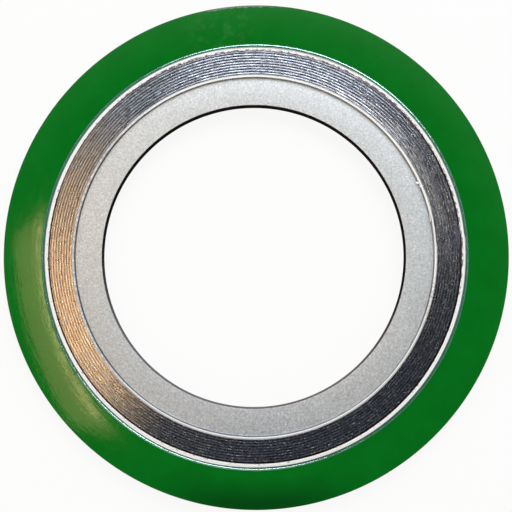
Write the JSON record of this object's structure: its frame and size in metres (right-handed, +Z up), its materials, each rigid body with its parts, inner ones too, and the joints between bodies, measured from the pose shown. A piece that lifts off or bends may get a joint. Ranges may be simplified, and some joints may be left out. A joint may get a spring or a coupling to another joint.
{
  "type": "spiral wound gasket",
  "caption": "Round flange gasket: a V-section metal strip and soft filler wound in a spiral, between a plain inner ring and a green painted centring ring.",
  "frame": {"origin": "centre of the gasket at half its height", "axes": "+Z up, square to the sealing faces; the strip starts 11 degrees from +X and its turns grow anticlockwise seen from +Z"},
  "size_m": [0.181, 0.181, 0.0044],
  "materials": {
    "bare_stainless": "fine satin grain, as rolled plate",
    "strip_stainless": "bright cold-rolled strip, cut edges",
    "graphite_filler": "dark pressed graphite with a soft metallic sheen",
    "green_paint": "smooth green enamel on steel, thin at the edges"
  },
  "bodies": {
    "root": {"inner_ring": "bare_stainless", "winding_strip": "strip_stainless", "filler_strip": "graphite_filler", "centring_ring": "green_paint"}
  },
  "joints": []
}
